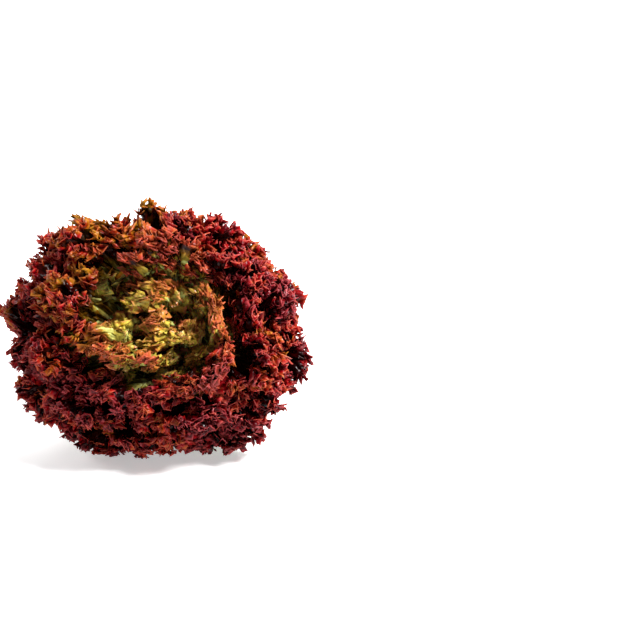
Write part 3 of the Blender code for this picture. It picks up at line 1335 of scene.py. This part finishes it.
@dataclass(frozen=True)
class LeafFinish(Finish):
    """Living lettuce leaf: a thin waxy skin over wet tissue, which light shines through.

    That gives the eye a soft wet gloss on every pucker and bright rims where the light comes through.
    A pale rim along the margin is a painted highlight, and the darkening into the folds and inside
    the young heart is painted shade, as is part of the olive brown between green and red. It is cream
    at the foot, green with paler veins along the blade, and red at the frill, from maroon through
    crimson to ochre: ochre partly where the sun was and partly as painted light on the head's top, and
    deeper maroon on its underside as painted shade. The young heart is yellow and orange in their place.
    Patches, flecks and mottles are as wide as their fields say, and the puckers of the real skin are 1
    to 2 mm across, drawn as coarse as they need to show.
    """

    name: str = "lettuce_leaf"
    reads: ClassVar[tuple[str, ...]] = ("blush", "pale", "warm", "vein", "edge", "young")
    foot: str = "#f2efda"
    rib: str = "#d6e68c"
    blade: str = "#86bc1c"
    young_blade: str = "#dcc650"
    # Olive brown between green and red: partly the leaf's own turning colour, and partly painted shade, made
    # dark to deepen the folds.
    turning_and_shade: str = "#5c3c06"
    young_turning: str = "#cc9034"
    maroon: str = "#56040c"
    crimson: str = "#9a0610"
    orange: str = "#983608"
    ochre: str = "#a87014"
    young_red: str = "#c4643c"
    # Painted highlight: pale pink and pale orange for the thin rim along the margin, where the edges catch the
    # light.
    edge: str = "#cc5256"
    warm_painted_highlight: str = "#cc843c"
    red_places: tuple[float, ...] = (0.05, 0.38, 0.66, 1.0)
    patch_mm: float = 26.3
    patch_shift: Pair = (-0.38, 0.38)
    patch_from: Pair = (0.0, 0.2)
    fleck_mm: float = 7.7
    fleck_shift: Pair = (-0.3, 0.3)
    mottle_mm: float = 3.85
    mottle_values: Pair = (0.72, 1.25)
    vein_width: Pair = (0.72, 1.0)
    vein_share: float = 0.55
    young_layers: Pair = (0.3, 0.8)
    # Painted shade: the young blade darkens inward from the margin, into the heart's hollow.
    hollow_shade_mm: Pair = (3.0, 14.0)
    hollow_shade_dims: Pair = (0.0, 0.72)
    tender_layers: Pair = (0.80, 0.95)
    tender_shares: Pair = (0.0, 0.7)
    # Painted shade: the red darkens from its margin inwards, into the folds between the lobes.
    painted_shade_mm: Pair = (0.2, 4.4)
    painted_shade_values: Pair = (1.1, 0.07)
    red_from: Pair = (0.20, 0.55)
    turning_from: Pair = (0.0, 0.25)
    # How far in from the margin the painted highlight reaches, and how strong it is.
    painted_highlight_mm: Pair = (0.0, 0.85)
    painted_highlight_shares: Pair = (0.54, 0.0)
    pucker_mm: float = 4.55
    pucker_strength: float = 0.8
    pucker_depth: float = 0.0016
    swell_mm: float = 9.5
    swell_strength: float = 0.7
    swell_depth: float = 0.0030
    roughness: float = 0.22
    ior: float = 1.40
    specular: float = 0.20
    see_through: float = 0.32

    def surface(self, ground: Ground) -> bpy.types.Node:
        """Add the green blade, the red over it, a painted highlight over both, and the skin's relief and gloss.

        Args:
            ground: What the finish is made on.

        Returns:
            The shader.
        """
        tree, read, place = ground.tree, ground.read, ground.place
        patch = add_node(
            tree, "TexNoise", {"Vector": place, "Scale": per_metre(self.patch_mm), "Detail": 4.0}
        )
        patchy = add_node(tree, "MapRange", {"Value": patch, SPAN: NOISE, ONTO: self.patch_shift})
        near = add_node(tree, "MapRange", {"Value": read["blush"], SPAN: self.patch_from})
        blushed = add_node(tree, "Math", {0: patchy, 1: near, 2: read["blush"]}, operation="MULTIPLY_ADD")
        warmed = add_node(tree, "Math", {0: read["warm"], 1: patchy}, operation="ADD")
        young = add_node(tree, "MapRange", {"Value": read["young"], SPAN: self.young_layers})
        tender = add_node(
            tree, "MapRange", {"Value": read["young"], SPAN: self.tender_layers, ONTO: self.tender_shares}
        )
        green = self.green(ground, young)
        fleck = add_node(
            tree, "TexNoise", {"Vector": place, "Scale": per_metre(self.fleck_mm), "Detail": 2.0}
        )
        flecked = add_node(tree, "MapRange", {"Value": fleck, SPAN: NOISE, ONTO: self.fleck_shift})
        toned = add_node(tree, "Math", {0: warmed, 1: flecked}, operation="ADD")
        red = add_node(tree, "ValToRGB", {0: toned})
        fill_ramp(red, tuple(zip(self.red_places, (self.maroon, self.crimson, self.orange, self.ochre))))
        red = add_node(tree, "Mix", {0: tender, BLEND: (red, linear(self.young_red))}, data_type="RGBA")
        # Painted shade: the red is darker further from the margin, in the frill's folds.
        deep = add_node(tree, "MapRange", {"Value": read["edge"], SPAN: self.painted_shade_mm, ONTO: self.painted_shade_values})
        shaded = add_node(tree, "HueSaturation", {"Color": red, "Value": deep})
        between = add_node(
            tree, "Mix", {0: tender, BLEND: (linear(self.turning_and_shade), linear(self.young_turning))}, data_type="RGBA"
        )
        turn = add_node(tree, "MapRange", {"Value": blushed, SPAN: self.turning_from})
        # Partly painted shade: the dark olive brown between green and red also deepens the folds.
        turning_and_shade = add_node(tree, "Mix", {0: turn, BLEND: (green, between)}, data_type="RGBA")
        blush = add_node(tree, "MapRange", {"Value": blushed, SPAN: self.red_from})
        skin = add_node(tree, "Mix", {0: blush, BLEND: (turning_and_shade, shaded)}, data_type="RGBA")
        # Painted highlight: a pale rim along the margin, pink on crimson and orange on ochre.
        edge = add_node(tree, "MapRange", {"Value": read["edge"], SPAN: self.painted_highlight_mm, ONTO: self.painted_highlight_shares})
        rim = add_node(
            tree, "Mix", {0: toned, BLEND: (linear(self.edge), linear(self.warm_painted_highlight))}, data_type="RGBA"
        )
        with_painted_highlight = add_node(tree, "Mix", {0: edge, BLEND: (skin, rim)}, data_type="RGBA")
        look = {"Base Color": with_painted_highlight, "Roughness": self.roughness, "IOR": self.ior}
        gloss = {"Specular IOR Level": self.specular, "Normal": self.relief(ground)}
        shader = add_node(tree, "BsdfPrincipled", {**look, **gloss})
        glow = add_node(tree, "BsdfTranslucent", {"Color": with_painted_highlight})
        return add_node(tree, "MixShader", {0: self.see_through, 1: shader, 2: glow})

    def green(self, ground: Ground, young: bpy.types.Node) -> bpy.types.Node:
        """Add the blade's colour, with painted shade inside the young heart, with its veins and its cream foot.

        Args:
            ground: What the finish is made on.
            young: How much of the young blade's colour there is.

        Returns:
            The node that mixes the colour.
        """
        tree, read = ground.tree, ground.read
        blade = add_node(
            tree, "Mix", {0: young, BLEND: (linear(self.blade), linear(self.young_blade))}, data_type="RGBA"
        )
        turns = add_node(tree, "Math", {0: read["vein"], 1: TURN}, operation="MULTIPLY")
        wave = add_node(tree, "Math", {0: turns}, operation="SINE")
        vein = add_node(tree, "MapRange", {"Value": wave, SPAN: self.vein_width})
        veined = add_node(tree, "Math", {0: vein, 1: self.vein_share}, operation="MULTIPLY")
        fine = add_node(
            tree, "TexNoise", {"Vector": ground.place, "Scale": per_metre(self.mottle_mm), "Detail": 3.0}
        )
        mottle = add_node(tree, "MapRange", {"Value": fine, SPAN: NOISE, ONTO: self.mottle_values})
        # Painted shade in the heart's hollow: darker further in from the margin.
        inward = add_node(
            tree, "MapRange", {"Value": read["edge"], SPAN: self.hollow_shade_mm, ONTO: self.hollow_shade_dims}
        )
        hollow_shade = add_node(tree, "Math", {0: inward, 1: young}, operation="MULTIPLY")
        dim = add_node(tree, "Math", {0: 1.0, 1: hollow_shade}, operation="SUBTRACT")
        value = add_node(tree, "Math", {0: mottle, 1: dim}, operation="MULTIPLY")
        mottled = add_node(tree, "HueSaturation", {"Color": blade, "Value": value})
        webbed = add_node(tree, "Mix", {0: veined, BLEND: (mottled, linear(self.rib))}, data_type="RGBA")
        return add_node(tree, "Mix", {0: read["pale"], BLEND: (webbed, linear(self.foot))}, data_type="RGBA")

    def relief(self, ground: Ground) -> bpy.types.Node:
        """Add the skin's relief: fine puckers on broader swells between the veins.

        Args:
            ground: What the finish is made on.

        Returns:
            The bump that holds both.
        """
        tree = ground.tree
        normal = {}
        for size, strength, depth in (
            (self.swell_mm, self.swell_strength, self.swell_depth),
            (self.pucker_mm, self.pucker_strength, self.pucker_depth),
        ):
            cell = add_node(
                tree, "TexVoronoi", {"Vector": ground.place, "Scale": per_metre(size)}, feature="SMOOTH_F1"
            )
            bump = add_node(tree, "Bump", {"Height": cell, "Strength": strength, "Distance": depth, **normal})
            normal = {"Normal": bump}
        return bump


@dataclass(frozen=True)
class PaperFinish(Finish):
    """White studio paper: matt and painted with a glow, so it is white but for painted shade at the head."""

    name: str = "white_paper"
    paper: str = "#eeeeee"
    roughness: float = 0.9
    specular: float = 0.1
    # Painted light and shade: the paper glows, and glows less near the head, as painted shade round it.
    painted_shade_reach: Pair = (0.20, 0.9)
    painted_glows: Pair = (0.42, 1.0)

    def surface(self, ground: Ground) -> bpy.types.Node:
        """Add the paper, whose painted glow is brighter further from the head, as painted shade near it.

        Args:
            ground: What the finish is made on.

        Returns:
            The shader.
        """
        tree = ground.tree
        away = add_node(tree, "VectorMath", {0: ground.place}, operation="LENGTH").outputs["Value"]
        glow = add_node(tree, "MapRange", {"Value": away, SPAN: self.painted_shade_reach, ONTO: self.painted_glows})
        look = {"Base Color": linear(self.paper), "Roughness": self.roughness}
        gloss = {"Specular IOR Level": self.specular, "Emission Color": (1, 1, 1, 1)}
        return add_node(tree, "BsdfPrincipled", {**look, **gloss, "Emission Strength": glow})


# ---------------------------------------------------------------------------------------------------
# The whole head
# ---------------------------------------------------------------------------------------------------


@dataclass
class Lettuce:
    """The whole head: its leaves and its stem."""

    counts: dict[Ring, int] = field(default_factory=lambda: {Ring.OUTER: 11, Ring.MIDDLE: 11, Ring.HEART: 8})
    columns: dict[Ring, int] = field(
        default_factory=lambda: {Ring.OUTER: 244, Ring.MIDDLE: 244, Ring.HEART: 200}
    )

    def leaves(self) -> list[Leaf]:
        """Return the leaves, outermost first.

        Returns:
            Every leaf of the head, as yet unbuilt.
        """
        blanks = {ring: LeafBlank(columns) for ring, columns in self.columns.items()}
        places = [(ring, number) for ring, count in self.counts.items() for number in range(1, count + 1)]
        return [
            Leaf(index, len(places), ring, f"{ring.value}_{number:02d}", blanks[ring])
            for index, (ring, number) in enumerate(places)
        ]

    def build(self) -> Iterator[bpy.types.Object]:
        """Build and dress each leaf and then the stem, and hand each over when it is done.

        Yields:
            Each finished piece.
        """
        finish = LeafFinish().make()
        sheets: dict[Ring, bpy.types.Mesh] = {}
        for leaf in self.leaves():
            if leaf.ring not in sheets:
                sheets[leaf.ring] = leaf.blank.build()
            piece = leaf.build(sheets[leaf.ring])
            dress(piece, finish)
            yield piece
        for sheet in sheets.values():
            bpy.data.meshes.remove(sheet)
        stump = CutStem().build()
        dress(stump, StemFinish().make())
        yield stump


# ---------------------------------------------------------------------------------------------------
# The studio
# ---------------------------------------------------------------------------------------------------


@dataclass(frozen=True)
class Lamp:
    """A square soft lamp: its place and size in metres, and its power in watts."""

    name: str
    place: tuple[float, float, float]
    size: float
    power: float


@dataclass
class Studio:
    """A pale floor, soft light and a camera that looks a little down on the crown.

    Sizes are in metres, and the surround's heights are shares of the way up to overhead.
    """

    view_width: float = 0.480
    elevation: float = math.radians(21)
    distance: float = 1.8
    sensor: float = 0.036
    beside: float = 0.1235
    rise: float = 0.006
    floor_size: float = 60.0
    surround_heights: Pair = (0.12, 0.45)
    surround_strengths: Pair = (0.7, 0.12)
    aim_height: float = 0.08
    lamps: tuple[Lamp, ...] = (
        Lamp("key", (0.85, -0.34, 1.10), size=0.4, power=58.0),
        Lamp("rim", (0.10, 0.9, 1.0), size=0.7, power=13.0),
        Lamp("side", (-1.0, 0.35, 0.6), size=0.5, power=8.0),
    )

    def build(self) -> None:
        """Build the floor, the lights and the camera."""
        self.build_floor()
        self.build_surround()
        for lamp in self.lamps:
            self.build_lamp(lamp)
        self.build_camera()

    def build_floor(self) -> None:
        """Build the floor, a white sweep that runs to the horizon."""
        deselect_all()
        bpy.ops.mesh.primitive_plane_add(size=self.floor_size)
        floor = bpy.context.object
        floor.name = "floor"
        dress(floor, PaperFinish().make())
        floor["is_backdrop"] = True

    def build_surround(self) -> None:
        """Build the white surround, bright near the floor and dim overhead, where the key light is."""
        world = bpy.data.worlds.new("surround")
        world.use_nodes = True
        tree = world.node_tree
        way = add_node(tree, "TexCoord").outputs["Generated"]
        height = add_node(tree, "SeparateXYZ", {0: way}).outputs["Z"]
        wall = add_node(
            tree, "MapRange", {"Value": height, SPAN: self.surround_heights, ONTO: self.surround_strengths}
        )
        tree.links.new(wall.outputs[0], tree.nodes["Background"].inputs["Strength"])
        tree.nodes["Background"].inputs["Color"].default_value = (1, 1, 1, 1)
        bpy.context.scene.world = world

    def build_lamp(self, lamp: Lamp) -> None:
        """Build one lamp, which looks at the head.

        Args:
            lamp: The lamp.
        """
        data = bpy.data.lights.new(lamp.name, "AREA")
        data.size = lamp.size
        data.energy = lamp.power
        light = bpy.data.objects.new(lamp.name, data)
        bpy.context.scene.collection.objects.link(light)
        light.location = lamp.place
        x, y, z = unit(np.array([0, 0, self.aim_height]) - np.array(lamp.place))
        light.rotation_euler = (math.acos(-z), 0.0, math.atan2(-x, y))

    def build_camera(self) -> None:
        """Build the camera, which sees the head in the left half of its view."""
        low, high = (np.array(corner) for corner in CAD_BOX)
        back = np.array([0.0, -math.cos(self.elevation), math.sin(self.elevation)])
        up = np.array([0.0, math.sin(self.elevation), math.cos(self.elevation)])
        data = bpy.data.cameras.new("camera")
        data.sensor_width = self.sensor * TO_MM
        data.lens = self.sensor * TO_MM * self.distance / self.view_width
        camera = bpy.data.objects.new("camera", data)
        bpy.context.scene.collection.objects.link(camera)
        target = (low + high) / 2 + np.array([self.beside, 0, 0]) + up * self.rise
        camera.location = target + back * self.distance
        camera.rotation_euler = (math.pi / 2 - self.elevation, 0.0, 0.0)
        bpy.context.scene.camera = camera
        bpy.context.scene.view_settings.view_transform = "Standard"


def write_sizes() -> None:
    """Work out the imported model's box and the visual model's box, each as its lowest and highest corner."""
    boxes = {"cad": CAD_BOX, "visual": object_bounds()}
    plain = {name: [[float(c) for c in corner] for corner in box] for name, box in boxes.items()}


def main() -> None:
    """Build the studio and the lettuce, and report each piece."""
    logging.basicConfig(level=logging.INFO, format="%(name)s: %(message)s")
    Studio().build()
    for piece in Lettuce().build():
        log.info("%s: %d faces", piece.name, len(piece.data.polygons))
    write_sizes()


if __name__ == "__main__":
    main()
